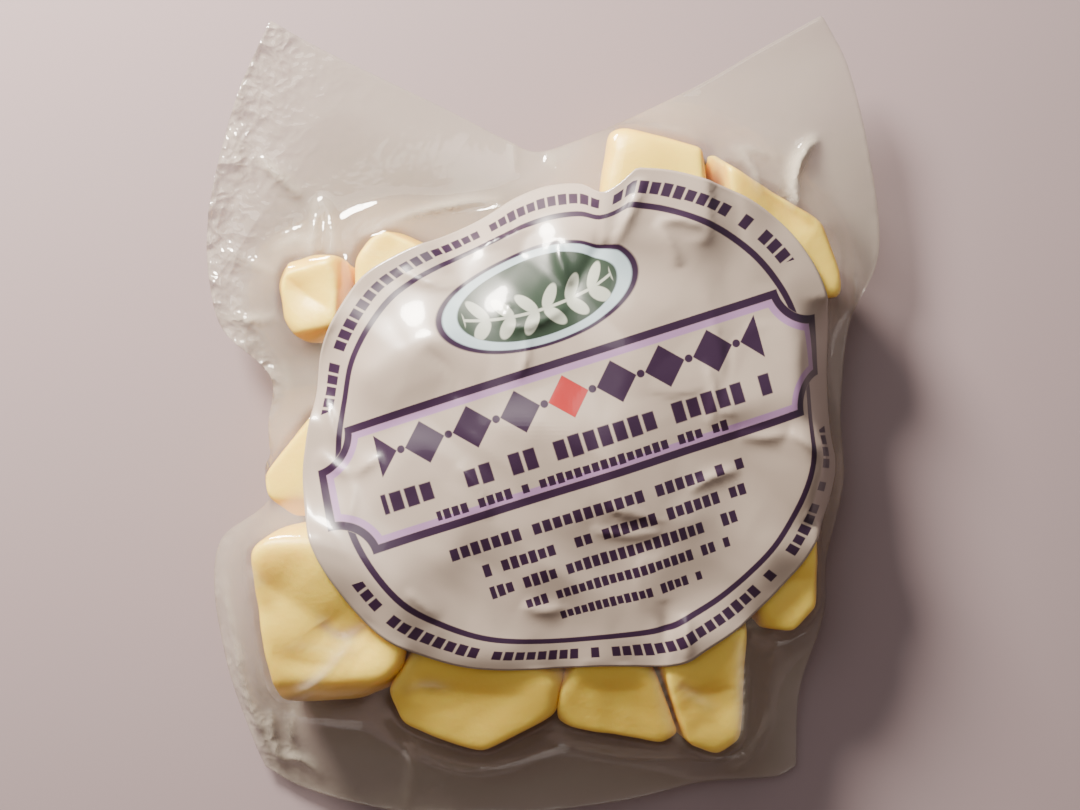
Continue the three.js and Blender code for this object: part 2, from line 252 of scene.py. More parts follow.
# One chunk's middle, half height, reach in plan, and faces as rows of (unit normal, distance from the
# middle): a flat underside, a leaning top, the cut sides through the corners and some slanting cuts
def chunkShape(chunk, piece):
    half = chunk[0] / 2
    draws = cheeseCut["draws"]
    corners = np.array(chunk[1])
    middle = corners.mean(axis=0)
    corners = corners - middle
    lean = (middle - cheeseCut["crown"]) / cheeseCut["crownRadius"]
    lean += [cheeseCut["topLean"] * scatter(piece, draws["lean"] + axis) for axis in (0, 1)]
    rows = [(0, 0, -1, half), (lean[0], lean[1], 1, half)]
    for side, corner in enumerate(corners):
        along = corners[(side + 1) % len(corners)] - corner
        along /= np.linalg.norm(along)
        signed = along[1] * corner[0] - along[0] * corner[1]
        out = math.copysign(1, signed)
        draft = cheeseCut["sideDraft"] * scatter(piece, draws["side"] + side)
        reach = abs(signed) - cheeseCut["draftShare"] * abs(draft) * half
        rows.append((out * along[1], -out * along[0], draft, reach / math.hypot(1, draft)))
    cuts = []
    for cut in range(cheeseCut["cornerCuts"]):
        facing = (cut + 0.5) * 2 * math.pi / cheeseCut["cornerCuts"]
        facing += cheeseCut["cutSwing"] * scatter(piece, draws["swing"] + cut)
        rise = cheeseCut["cutRise"][0] + cheeseCut["cutRise"][1] * scatter(piece, draws["rise"] + cut)
        depth = cheeseCut["bite"][0] + cheeseCut["bite"][1] * scatter(piece, draws["bite"] + cut)
        cuts.append((facing, rise, depth))
    cuts += [(math.radians(facing), rise, depth) for facing, rise, depth in chunk[2:]]
    for facing, rise, depth in cuts:
        support = (corners @ [math.cos(facing), math.sin(facing)]).max()
        distance = (support + rise * half) / math.hypot(1, rise) - depth
        rows.append((math.cos(facing), math.sin(facing), rise, distance))
    faces = np.array(rows)
    faces[:, :3] /= np.linalg.norm(faces[:, :3], axis=1)[:, None]
    return middle, half, np.linalg.norm(corners, axis=1).max(), faces


# Sum over the faces of (how far along its normal the point lies, over the face's distance) to a power:
# under 1 inside, 1 on the skin
def reachIn(faces, x, y, z):
    total = np.zeros(np.broadcast(x, y, z).shape)
    for nx, ny, nz, distance in faces:
        total += np.maximum(0, (nx * x + ny * y + nz * z) / distance) ** cheeseCut["cornerPower"]
    return total


# Depth of the dents in the tops: each falls off as exp(-(distance over radius) squared); grooves are folds
# that go down
def dentDepth(x, y):
    depth = np.zeros(np.shape(x))
    for dentX, dentY, radius, deep in cheeseCut["dents"]:
        depth += deep * np.exp(-((x - dentX) ** 2 + (y - dentY) ** 2) / radius ** 2)
    return addCreases(depth, x, y, cheeseCut["grooves"])


# Height of every chunk over and under the points of the height map, found by halving the span again and
# again between its middle and a place outside it
def cheeseHeights(x, y):
    wide, tall = 1.3, 1.4       # times the reach in plan and the half height: surely outside
    over = np.full(x.shape, -np.inf)
    under = np.full(x.shape, np.inf)
    for piece, chunk in enumerate(chunks):
        middle, half, span, faces = chunkShape(chunk, piece)
        near = np.maximum(np.abs(x - middle[0]), np.abs(y - middle[1])) < wide * span
        dx, dy = x[near] - middle[0], y[near] - middle[1]
        beside = reachIn(faces, dx, dy, 0) > 1
        for way in (1, -1):
            inside = np.zeros(dx.shape)
            outside = np.full(dx.shape, half * tall)
            for step in range(cheeseCut["halvings"]):
                between = (inside + outside) / 2
                within = reachIn(faces, dx, dy, way * between) < 1
                inside = np.where(within, between, inside)
                outside = np.where(within, outside, between)
            height = half + way * inside
            if way > 0:
                over[near] = np.maximum(over[near], np.where(beside, -np.inf, height))
            else:
                under[near] = np.minimum(under[near], np.where(beside, np.inf, height))
    return over, under


# A chunk's skin: along each direction from its centre the distance is (sum of (normal . direction over
# the face's distance) to the power) to minus one over the power, and slow waves dent it a little
def makeChunk(chunk, piece):
    down = np.linspace(0, math.pi, cheeseCut["down"] + 1)[1:-1, None]
    around = np.linspace(0, 2 * math.pi, cheeseCut["around"], endpoint=False)[None, :]
    x = np.sin(down) * np.cos(around)
    y = np.sin(down) * np.sin(around)
    z = np.cos(down) + 0 * around
    poles = np.array([[0, 0, 1], [0, 0, -1]])
    way = np.concatenate([np.stack([x, y, z], axis=-1).reshape(-1, 3), poles])
    middle, half, span, faces = chunkShape(chunk, piece)
    reach = reachIn(faces, way[:, 0], way[:, 1], way[:, 2]) ** (-1 / cheeseCut["cornerPower"])
    points = way * reach[:, None]
    waves = sum(share * slowWaves(*points.T, wavelength, piece + seed)
                for wavelength, share, seed in cheeseCut["waves"])
    points -= way * (cheeseCut["swell"] * (1 + waves) / 2)[:, None]
    points[:, :2] += middle
    points[:, 2] += half
    points[:, 2] -= dentDepth(points[:, 0], points[:, 1]) * np.clip(points[:, 2] / half - 1, 0, 1)
    points[:, 2] = np.maximum(points[:, 2], cheeseCut["floorGap"])
    numbers = np.arange(x.size).reshape(x.shape)
    quads = gridQuads(numbers, goesRound=True)[:, ::-1]
    topPole, bottomPole = x.size, x.size + 1
    first, last = numbers[0], numbers[-1]
    topFan = np.stack([np.full(first.size, topPole), first, np.roll(first, -1)], axis=-1)
    bottomFan = np.stack([np.full(last.size, bottomPole), np.roll(last, -1), last], axis=-1)
    skin = quads.tolist() + topFan.tolist() + bottomFan.tolist()
    return gridObject("chunk_%02d" % (piece + 1), points, skin)


# The label: paper laid over the film, measured flat along its own axes
label = {
    "rim": [[17.5, 47.5], [24, 47], [31.5, 45], [39, 42], [45.5, 37.5], [50, 32.5], [53.5, 26.5],
            [55.5, 19], [55.5, 9], [56, -3], [57, -8.5], [55.5, -15.5], [50.5, -25.5], [45, -32],
            [38, -38.5], [30.5, -43.5], [27.5, -45.5], [22.5, -46.5], [11, -46.5], [-2, -47],
            [-14.5, -46.5], [-23, -44], [-31, -40], [-38.5, -31.5], [-43.5, -22.5], [-46, -11.5],
            [-45.5, -4], [-44, 5], [-43, 13.5], [-39, 22], [-34.5, 28], [-28, 32], [-20, 35.5],
            [-12, 39.5], [-5, 44], [1, 46], [7, 45.5], [11, 43], [13.5, 44]],
    "centre": (6.6, -1.3),
    "long": 106,            # of the flat oval, along its own axis, which rises to the right
    "across": 92,
    "turn": math.radians(17.5),
    "squareness": 2.2,      # 2 is an ellipse
    "rimPull": 4,           # higher keeps the pull of the bent rim nearer to it
    "paper": 0.1,
    "gap": 0.12,
    "rimPoints": 600,
    "rings": 110,
    "spokes": 380,
    "mapSpan": 100,         # millimetres of flat label from 0 to 1 on its map
    "stiffness": 6,         # how many times flatter the film spans a gap under the paper
    "facets": [(1, 15, 3), (0.35, 6.75, 8)],    # share, size and seed of the flat facets it breaks into
    "facetDepth": 0.7,
    "smoothing": 10,        # times the film's height is blurred under the paper
    "lift": 0.45,           # room between paper and film for its creases
    "rimFlat": 0.12,        # share of its reach over which the lift dies away to the rim
    "overCheese": 0.1,
    "pressed": 0.02,        # share of its reach over which the film comes to lie under it
    "filmUnder": 0.05,
}


# The flat oval's size in a direction, where its two shares to a power add up to 1, and the size of the
# bent rim as it lies, by its closed smooth line
def labelSizes(way):
    turned = way - label["turn"]
    power = label["squareness"]
    oval = (np.abs(2 * np.cos(turned) / label["long"]) ** power
            + np.abs(2 * np.sin(turned) / label["across"]) ** power) ** (-1 / power)
    rim = edgeLine([[x, y, 0] for x, y in label["rim"] + label["rim"][:1]], label["rimPoints"])
    dx, dy = rim[:, 0] - label["centre"][0], rim[:, 1] - label["centre"][1]
    return oval, np.interp(way, np.arctan2(dy, dx)[::-1], np.hypot(dx, dy)[::-1], period=2 * math.pi)


# How far a point lies from the label's middle: 1 on its rim
def labelReach(x, y):
    dx, dy = x - label["centre"][0], y - label["centre"][1]
    return np.hypot(dx, dy) / labelSizes(np.arctan2(dy, dx))[1]


# The pouch: its edges as they lie, [x, y, z] along each, the corners shared
pouch = {
    "left": [[-56.4, -70.3, 2], [-58.6, -64.8, 3], [-63.7, -48.2, 5], [-65.8, -31.8, 7],
             [-64.1, -23.4, 7.5], [-54.6, -15.3, 8.5], [-54.5, -0.8, 9], [-54.2, 8.6, 8.5],
             [-63.9, 18.2, 7.5], [-66.6, 28.1, 8], [-66.6, 39.6, 9], [-61.8, 59.9, 11], [-53.2, 78.2, 15]],
    "right": [[51.5, -70.1, 2], [51.8, -54.4, 4], [56.3, -38.3, 6.5], [56.6, -27.8, 7.5], [59.4, -12.1, 10],
              [59.2, 3.2, 9], [61.1, 19.7, 8.5], [66.6, 32.8, 9], [64.4, 53.7, 10], [59.6, 70.7, 12],
              [54.5, 79.4, 14]],
    "top": [[-53.2, 78.2, 15], [-44.7, 73.6, 13], [-18.4, 61.4, 10], [-7.4, 55.9, 9], [-1.6, 53.5, 9],
            [6.4, 55.7, 9], [30.4, 66.2, 11], [43, 73.3, 12.5], [54.5, 79.4, 14]],
    "bottom": [[-56.4, -70.3, 2], [-49.5, -74.2, 2], [-28.9, -78.9, 4], [-4.7, -79.2, 3.5],
               [16.6, -76.7, 4], [31.9, -73.3, 3], [48.3, -72.1, 2], [51.5, -70.1, 2]],
    "skins": 0.3,           # from the outer face of one skin to the other's where they lie together
    "cellsAcross": 170,     # of the finished mesh
    "cellsUp": 196,
    "edgePoints": 900,
    "raster": 0.8,          # cell of the height map the film is draped on, and the room round the pouch
    "room": 2,
    "hugRadius": 7.0,       # curve the vacuum gives a skin across a gap
    "drapeSteps": 2600,
    "startsAt": 8.0,        # height of the flat skins before they are draped
    "cheeseGap": 0.12,      # film lies this far off the cheese
    "intoDents": 0.8,       # share of the cheese's dents that the film follows
    "margin": 2.5,          # skins farther apart than this aren't a margin
    "hugs": (0.1, 1.2),     # film is clear up to the first height over the cheese, hazy past both
}


# The sheet the four edges span: left to right, plus bottom to top, less what the corners alone span
def sheetGrid(across, up):
    left, right = edgeLine(pouch["left"], up), edgeLine(pouch["right"], up)
    top, bottom = edgeLine(pouch["top"], across), edgeLine(pouch["bottom"], across)
    s = np.linspace(0, 1, across + 1)[None, :, None]
    t = np.linspace(0, 1, up + 1)[:, None, None]
    sideways = (1 - s) * left[:, None] + s * right[:, None]
    upward = (1 - t) * bottom[None] + t * top[None]
    corners = (1 - t) * ((1 - s) * left[0] + s * right[0]) + t * ((1 - s) * left[-1] + s * right[-1])
    return sideways + upward - corners


# Values of a height map at any x and y, straight-line mixed between its cells
def sample(heights, x, y):
    column = np.clip((x - mapX[0]) / pouch["raster"], 0, len(mapX) - 1.001)
    row = np.clip((y - mapY[0]) / pouch["raster"], 0, len(mapY) - 1.001)
    i, j = column.astype(int), row.astype(int)
    fx, fy = column - i, row - j
    low = heights[j, i] * (1 - fx) + heights[j, i + 1] * fx
    high = heights[j + 1, i] * (1 - fx) + heights[j + 1, i + 1] * fx
    return low * (1 - fy) + high * fy


# Upper and lower skin: each takes the mean of its neighbours, moved by the vacuum's pull, but stays off
# the cheese; where nothing is between them the two lie together
def drapeFilm():
    farBelow = -50              # where no chunk is
    over, under = cheeseHeights(gridX, gridY)
    over, under = widen(over), -widen(-under)
    dents = pouch["intoDents"] * dentDepth(gridX, gridY)
    over = np.where(np.isinf(over), farBelow, over + pouch["cheeseGap"] - dents)
    under = np.maximum(0, under - cheeseCut["floorGap"])
    sides = [pouch[side] for side in ("left", "right", "top", "bottom")]
    edges = np.vstack([edgeLine(side, pouch["edgePoints"]) for side in sides])
    held = np.zeros(gridX.shape, bool)
    sheet = np.full(gridX.shape, pouch["startsAt"])
    column = np.round((edges[:, 0] - mapX[0]) / pouch["raster"]).astype(int)
    row = np.round((edges[:, 1] - mapY[0]) / pouch["raster"]).astype(int)
    held[row, column] = True
    sheet[row, column] = edges[:, 2]
    half = pouch["skins"] / 2
    upper = np.where(held, sheet + half, np.maximum(sheet + half, over))
    lower = np.where(held, sheet - half, np.minimum(sheet - half, under))
    sink = pouch["raster"] ** 2 / (4 * pouch["hugRadius"])
    papered = labelReach(gridX, gridY)[1:-1, 1:-1] < 1
    sinkUpper = np.where(papered, sink / label["stiffness"], sink)
    free = ~held[1:-1, 1:-1]
    for step in range(pouch["drapeSteps"]):
        meanUpper, meanLower = neighbourMean(upper), neighbourMean(lower)
        high = np.maximum(over[1:-1, 1:-1], meanUpper - sinkUpper)
        low = np.maximum(0, np.minimum(under[1:-1, 1:-1], meanLower + sink))
        middle = np.maximum(half, (meanUpper + meanLower) / 2)
        together = high - low < 2 * half
        high = np.where(together, np.maximum(over[1:-1, 1:-1], middle + half), high)
        low = np.where(together, np.minimum(under[1:-1, 1:-1], middle - half), low)
        upper[1:-1, 1:-1] = np.where(free, high, upper[1:-1, 1:-1])
        lower[1:-1, 1:-1] = np.where(free, low, lower[1:-1, 1:-1])
    return upper, lower, over


print("pouch: draping the film")
mapX, mapY = (np.arange(cadBox[0][axis] / mm - pouch["room"], cadBox[1][axis] / mm + pouch["room"],
                        pouch["raster"]) for axis in (0, 1))
gridX, gridY = np.meshgrid(mapX, mapY)
upper, lower, over = drapeFilm()


# Creases of the film: start, bend point and end in x and y, height and half width
creases = [
    [(-5.6, 57), (-5.8, 53), (-5.4, 48.5), 0.5, 0.5],
    [(0.5, 53.5), (3, 52), (2, 49), 1.0, 0.6],
    [(-34, 37), (-22, 43.5), (-7, 43.5), 2.0, 0.6],
    [(54.4, 56), (47.5, 50), (48.2, 39.5), 3.4, 0.9],
    [(60.5, 31), (62.8, 26), (62, 21.5), 1.2, 0.6],
    [(38, 53), (40, 49), (41.5, 42), 1.4, 0.9],
    [(-57, 52.4), (-52, 48.5), (-47.5, 43.6), 1.6, 0.7],
    [(-43.9, 44.5), (-45.4, 39), (-45.3, 31), 1.7, 0.6],
    [(-43.3, 44.5), (-41.8, 39), (-40.4, 31), 1.4, 0.6],
    [(-26, -62), (-26.4, -70), (-27.5, -78), 1.1, 0.8],
    [(37.6, -41), (39.5, -56), (38.8, -72), 1.3, 1.0],
    [(46, -58), (41.5, -66), (39.2, -71.5), 1.2, 0.8],
    [(-35, -40), (-40.5, -49), (-53, -56.3), 1.3, 0.9],
    [(-53.5, -69), (-48, -66), (-44.5, -73), 1.4, 0.9],
    [(-63.5, -30), (-62, -42), (-59.5, -50), 1.4, 0.6],
    [(-61.5, -44), (-60.5, -55), (-55, -66.6), 1.7, 0.7],
    [(-54.2, -57.5), (-55, -64), (-52.8, -69.5), 1.9, 0.6],
    [(-50.3, -57), (-51, -63), (-49.8, -68), 1.6, 0.6],
    [(-29, -62.5), (-17, -74), (-4.5, -66.5), 0.8, 0.6],
    [(0.5, -62), (14, -69), (38, -65), 1.1, 0.8],
    [(-64, 33), (-58, 31.5), (-52, 29), 0.9, 0.7],
    [(-65, 21), (-58, 19.5), (-50.5, 20.5), 1.3, 0.7],
    [(-62, 58), (-59, 54), (-60.5, 47), 0.8, 0.6],
    [(-55, 77), (-58.5, 68), (-61, 60), 0.7, 0.6],
    [(25, -49.5), (28, -53), (33.5, -56), 0.8, 0.8],
    [(-56, -27.5), (-54, -29), (-52.5, -32), 1.0, 0.8],
    [(-42.5, -36), (-39, -45), (-33, -37.5), 1.1, 0.8],
    [(-50, -44), (-45, -41), (-38, -45), 0.5, 0.6],
    [(-55, -50), (-50.5, -54), (-44, -54), 1.0, 0.8],
    [(-27, -52), (-22, -49), (-17, -52), 0.8, 0.8],
    [(-30, -62), (-24, -60.5), (-20, -63.5), 0.6, 0.5],
    [(15, 55.5), (22, 57.5), (30, 54.5), 1.0, 0.8],
    [(36, 52.5), (41, 53.5), (47, 51), 1.2, 0.8],
    [(-55.5, 0.5), (-57, -5), (-55, -10), 0.8, 0.5],
    [(-52, 12), (-50, 8), (-51, 3), 0.6, 0.5],
    [(55.5, -12), (57, -20), (55.5, -28), 0.7, 0.5],
    [(-54, 33), (-49, 37.5), (-44.5, 34.5), 1.4, 0.9],
]


# The crumpled left margin, and the fine ripple that all loose film has
wrinkles = {
    "reach": 7,             # how far in from the left edge the crumpling fades
    "fromY": -20,           # it grows from here up, over this height, from this share
    "growth": 20,
    "least": 0.25,
    "elsewhere": 0.03,      # share of it away from the left edge
    "high": 0.5,
    "facets": [(0.8, 5.5, 5), (0.35, 2.6, 6)],  # share, size and seed
    "ripple": (0.16, 19, 71),                   # height, wavelength and seed
    "foldHaze": (0.9, 3),   # a fold's height turns it milky at this rate, up to this height
    "foldCrinkle": 0.15,
}


print("pouch: creases")
apart = np.clip((upper - lower - pouch["skins"]) / pouch["margin"], 0, 1)
together = 1 - blur(apart, 3)
fold = addCreases(0, gridX, gridY, creases)
leftEdge = edgeLine(pouch["left"], 60)
fromLeft = np.interp(gridY, leftEdge[:, 1], leftEdge[:, 0])
nearLeft = np.exp(-np.abs(gridX - fromLeft) / wrinkles["reach"])
nearLeft *= np.clip((gridY - wrinkles["fromY"]) / wrinkles["growth"], wrinkles["least"], 1)
rippleHigh, rippleLong, rippleSeed = wrinkles["ripple"]
ripple = rippleHigh * slowWaves(gridX, gridY, 0 * gridX, rippleLong, rippleSeed)
crinkle = sum(share * facets(gridX, gridY, size, seed) for share, size, seed in wrinkles["facets"])
crinkle *= wrinkles["elsewhere"] + (1 - wrinkles["elsewhere"]) * nearLeft
loose = together * (ripple + wrinkles["high"] * blur(crinkle, 1))
upper += fold + loose
lower += together * fold + loose
upper = np.maximum(upper, over)
lower = np.maximum(lower, 0)
upper = np.maximum(upper, lower + pouch["skins"])


# Creases of the paper, listed as those of the film are; a height under 0 is a groove
paperCreases = [
    [(15.2, 44), (12.5, 35), (4, 22), -1.3, 1.5],
    [(19, 46), (16, 38), (13, 33), 1.2, 1.0],
    [(21, 37), (26, 38.5), (30, 36), 0.9, 0.8],
    [(21, 37), (24, 33), (25.5, 29), 0.8, 0.8],
    [(-27.5, 29), (-22, 26), (-16, 25.5), 0.8, 0.8],
    [(-5.5, 39), (-6, 35), (-4, 30.5), -0.8, 0.8],
    [(2.5, 34.5), (3, 30), (5, 25.5), 1.1, 0.9],
    [(5, 22.5), (-1, 17), (-7, 17.5), 0.8, 0.8],
    [(-3.5, 17), (-2, 12), (-5, 8), 0.6, 0.7],
    [(-36, -10.5), (-39, -9), (-43, -6), 1.0, 0.9],
    [(-36, -10.5), (-34, -8), (-30, -6.5), 1.0, 0.9],
    [(-36, -10.5), (-35, -15), (-37.5, -20), 0.7, 1.0],
    [(-25.5, -31.5), (-23, -33.5), (-20, -37), 0.7, 0.8],
    [(-4, -34.5), (-0.5, -36.5), (4, -35), 0.8, 1.1],
    [(22, -34), (23.5, -39), (24.5, -46), -1.2, 1.0],
    [(27, -36), (27, -40), (27.5, -45), 0.9, 0.8],
    [(46, -2), (49, -3), (53, -7), 1.0, 0.9],
    [(46, -2), (42, -3.5), (36.5, -2.5), 0.8, 0.9],
    [(27.5, -13), (31, -10), (37, -9), 0.9, 0.9],
    [(-42.5, 6), (-41, 1), (-39, -4), 0.9, 0.8],
    [(30, 12), (33, 6), (31, -1), 0.6, 0.8],
    [(-16, -8), (-11, -12), (-10, -18), 0.6, 0.9],
    [(9, -20), (15, -22), (22, -20.5), 0.6, 0.8],
    [(-22, 14), (-17, 10), (-16, 4), -0.6, 0.9],
]


# The paper's height: the smoothed film, lifted a little, with flat facets and creases; it may stand off the
# film, never under it
reachOfLabel = labelReach(gridX, gridY)
dents = sum(share * facets(gridX, gridY, size, seed) for share, size, seed in label["facets"])
inner = np.clip((1 - reachOfLabel) / label["rimFlat"], 0, 1)
paperHeights = blur(upper, label["smoothing"]) + label["lift"] * inner + label["facetDepth"] * blur(dents, 1)
paperHeights = addCreases(paperHeights, gridX, gridY, paperCreases)
paperHeights = np.maximum(paperHeights, over + label["overCheese"])
pressed = np.clip((1 - reachOfLabel) / label["pressed"], 0, 1)
upper = upper * (1 - pressed) + np.minimum(upper, paperHeights - label["filmUnder"]) * pressed
paperHeights = np.maximum(paperHeights, upper)


# Both skins on the sheet's grid, closed by the strip along their edge; two attributes tell the finish
# where the film stands off the cheese and where it is crumpled
def makeFilm():
    sheet = sheetGrid(pouch["cellsAcross"], pouch["cellsUp"])
    x, y = sheet[..., 0], sheet[..., 1]
    high = sample(upper, x, y)
    low = sample(lower, x, y)
    top = np.stack([x, y, high], axis=-1).reshape(-1, 3)
    bottom = np.stack([x, y, low], axis=-1).reshape(-1, 3)
    numbers = np.arange(x.size).reshape(x.shape)
    rim = np.concatenate([numbers[0, :-1], numbers[:-1, -1], numbers[-1, :0:-1], numbers[:0:-1, 0]])
    strip = np.stack([rim, rim + x.size])
    quads = np.vstack([gridQuads(numbers), gridQuads(numbers)[:, ::-1] + x.size,
                       gridQuads(strip, goesRound=True)[:, ::-1]])
    obj = gridObject("film", np.vstack([top, bottom]), quads.tolist())
    clearUpTo, hazyOver = pouch["hugs"]
    milkRate, milkHigh = wrinkles["foldHaze"]
    free = np.clip((upper - over - clearUpTo) / hazyOver, 0, 1) + milkRate * np.clip(fold, 0, milkHigh)
    slack = np.clip(together * nearLeft + wrinkles["foldCrinkle"] * fold, 0, 1)
    for name, field in (("standsOff", free), ("crinkled", slack)):
        values = np.tile(sample(blur(field, 1), x, y).reshape(-1), 2)
        obj.data.attributes.new(name, "FLOAT", "POINT").data.foreach_set("value", values.astype(np.float32))
    return obj


# Rings of points: radius r from 0 to 1 times the flat oval; the rim is pulled to the bent line, the rings
# inside it less, by r to a power. The map keeps the flat places, so the print bends with the paper
def makeLabel():
    r = np.linspace(0, 1, label["rings"] + 1)[1:, None]
    way = np.linspace(0, 2 * math.pi, label["spokes"], endpoint=False)[None, :]
    oval, rim = labelSizes(way)
    turned = way - label["turn"]
    u = np.append(r * oval * np.cos(turned), 0.0)
    v = np.append(r * oval * np.sin(turned), 0.0)
    rounds, spokes = label["rings"], label["spokes"]
    size = r * oval * (1 + (rim / oval - 1) * r ** label["rimPull"])
    x = np.append(size * np.cos(way), 0.0) + label["centre"][0]
    y = np.append(size * np.sin(way), 0.0) + label["centre"][1]
    low = np.stack([x, y, sample(paperHeights, x, y) + label["gap"]], axis=-1)
    high = low + [0, 0, label["paper"]]
    numbers = np.arange(rounds * spokes).reshape(rounds, spokes)
    middle = rounds * spokes
    quads = gridQuads(numbers, goesRound=True)[:, ::-1]
    fan = np.stack([np.full(spokes, middle), numbers[0], np.roll(numbers[0], -1)], axis=-1)
    count = middle + 1
    strip = gridQuads(np.stack([numbers[-1], numbers[-1] + count]), goesRound=True)[:, ::-1]
    parts = [quads, fan, quads[:, ::-1] + count, fan[:, ::-1] + count, strip]
    faces = [face for part in parts for face in part.tolist()]
    obj = gridObject("label_paper", np.vstack([high, low]), faces)
    flat = np.tile(np.stack([u, v], axis=-1) / label["mapSpan"] + 0.5, (2, 1))
    corner = np.zeros(len(obj.data.loops), dtype=np.int32)
    obj.data.loops.foreach_get("vertex_index", corner)
    layer = obj.data.uv_layers.new(name="flat")
    layer.data.foreach_set("uv", flat[corner].reshape(-1))
    return obj


print("pouch: meshes")
film = makeFilm()
paper = makeLabel()
cheese = [makeChunk(chunk, piece) for piece, chunk in enumerate(chunks)]


# Base colours of all finishes
colours = {
    "cheese": (1.0, 0.73, 0.115),
    # the deeper colour serves both for clouds of tone and as painted shade on steep faces
    "cheeseDeepAndShade": (0.92, 0.58, 0.085),
    "paper": (0.34, 0.272, 0.224),
    "ink": (0.02, 0.0065, 0.024),
    "lilac": (0.27, 0.155, 0.29),
    "red": (0.30, 0.015, 0.015),
    "sky": (0.33, 0.42, 0.46),
    "leafDark": (0.02, 0.035, 0.022),
    "spray": (0.34, 0.36, 0.30),
    "haze": (0.44, 0.39, 0.32),
    "floor": (0.262, 0.205, 0.213),
}


# A number that changes over a surface; sums with it are written with the usual signs
class Value:
    def __init__(self, nodes, socket):
        self.nodes = nodes
        self.socket = socket

    def __add__(self, other):
        return self.nodes.math("ADD", self, other)

    def __sub__(self, other):
        return self.nodes.math("SUBTRACT", self, other)

    def __rsub__(self, other):
        return self.nodes.math("SUBTRACT", other, self)

    def __mul__(self, other):
        return self.nodes.math("MULTIPLY", self, other)

    def __truediv__(self, other):
        return self.nodes.math("DIVIDE", self, other)

    def __pow__(self, other):
        return self.nodes.math("POWER", self, other)

    def __abs__(self):
        return self.nodes.math("ABSOLUTE", self)


# The node tree of a material or a world, and short ways to add to it
class Nodes:
    def __init__(self, owner, output="ShaderNodeOutputMaterial"):
        owner.use_nodes = True
        self.owner = owner
        self.tree = owner.node_tree
        self.tree.nodes.clear()
        self.output = self.tree.nodes.new(output)

    def link(self, source, target):
        if isinstance(source, Value):
            source = source.socket
        if isinstance(source, (int, float, tuple)):
            target.default_value = source
        else:
            self.tree.links.new(source, target)

    # A node with its settings, and its sockets' values or links by their names
    def add(self, kind, sockets=None, **settings):
        node = self.tree.nodes.new(kind)
        for name, setting in settings.items():
            setattr(node, name, setting)
        for name, source in (sockets or {}).items():
            self.link(source, node.inputs[name])
        return node

    def value(self, kind, output, sockets=None, **settings):
        return Value(self, self.add(kind, sockets, **settings).outputs[output])

    def math(self, operation, *numbers):
        node = self.add("ShaderNodeMath", operation=operation)
        for socket, number in zip(node.inputs, numbers):
            self.link(number, socket)
        return Value(self, node.outputs[0])

    def most(self, first, *others):
        for other in others:
            first = self.math("MAXIMUM", first, other)
        return first

    # The root of the sum of the squares
    def away(self, a, b):
        return self.math("SQRT", a * a + b * b)

    # 1 where the value is under the limit, with a soft edge
    def below(self, value, limit, soft=0.08):
        return self.value("ShaderNodeMapRange", "Result", {
            "Value": value, "From Min": limit - soft, "From Max": limit + soft, "To Min": 1, "To Max": 0})

    def mix(self, amount, a, b):
        node = self.add("ShaderNodeMix", data_type="RGBA")
        self.link(amount, node.inputs[0])
        for socket, colour in ((node.inputs[6], a), (node.inputs[7], b)):
            self.link((*colour, 1) if isinstance(colour, tuple) else colour, socket)
        return node.outputs[2]

    def mixShader(self, amount, a, b):
        node = self.add("ShaderNodeMixShader")
        for socket, source in zip(node.inputs, (amount, a.outputs[0], b.outputs[0])):
            self.link(source, socket)
        return node

    def finish(self, last):
        self.link(last.outputs[0], self.output.inputs["Surface"])
        return self.owner


# Cheese: its deeper colour comes with slow clouds of tone, and as painted shade on steep side faces; light
# goes a little way into it
cheeseLook = {
    "cloud": (90, 3),       # scale and detail of the clouds, then of the fine grain
    "grain": (900, 4),
    "grainHigh": 0.0003,
    "grainStrength": 0.25,
    "deepByCloud": 0.45,
    # painted shade: steep faces take the deeper colour at this rate
    "paintedShadeBySteep": 1.3,
    "roughness": 0.42,
    "inside": 0.6,          # share of the light that goes into it, and how far by colour
    "insideReach": (0.003, 0.0024, 0.0014),
}


def cheeseMaterial():
    n = Nodes(bpy.data.materials.new("cheese"))
    look = cheeseLook
    place = n.add("ShaderNodeTexCoord")
    cloud, grain = (n.value("ShaderNodeTexNoise", "Fac", {
        "Vector": place.outputs["Object"], "Scale": scale, "Detail": detail})
        for scale, detail in (look["cloud"], look["grain"]))
    bump = n.add("ShaderNodeBump", {
        "Strength": look["grainStrength"], "Distance": look["grainHigh"], "Height": grain})
    upright = n.value("ShaderNodeSeparateXYZ", "Z", {"Vector": place.outputs["Normal"]})
    # painted shade: the steeper the face, the more of the deeper colour it gets, besides the clouds
    steep = 1.0 - n.most(upright, 0.0)
    deep = n.math("MINIMUM", cloud * look["deepByCloud"] + steep * look["paintedShadeBySteep"], 1.0)
    return n.finish(n.add("ShaderNodeBsdfPrincipled", {
        "Base Color": n.mix(deep, colours["cheese"], colours["cheeseDeepAndShade"]), "Roughness": look["roughness"],
        "Subsurface Weight": look["inside"], "Subsurface Radius": look["insideReach"],
        "Subsurface Scale": 1.0, "Normal": bump.outputs["Normal"]}))


# Clear film: what passes straight through is mixed with a milky haze, more of it where the film stands
# off the cheese, and the gloss comes on top, growing with a power of how far the surface faces away. Its
# crinkles are the sum of ridged noises, each minus twice the noise's distance from a half
filmLook = {
    "ridges": [(42.0, 1.0, 0.6), (130.0, 0.7, 0.0), (330.0, 0.3, 0.0)],     # scale, share and bend
    "ridgeHigh": 0.004,
    "crinkle": (1.0, 0.03),     # strength where the film is crumpled, and what all of it has
    "haze": (0.23, 0.01),       # milky share where it stands off, and what all of it has
    "gloss": (0.7, 0.05),       # mirror share at grazing light, and what all of it has
    "grazing": 5.0,
    "roughness": 0.09,
    "tint": (0.985, 0.98, 0.965, 1),
}


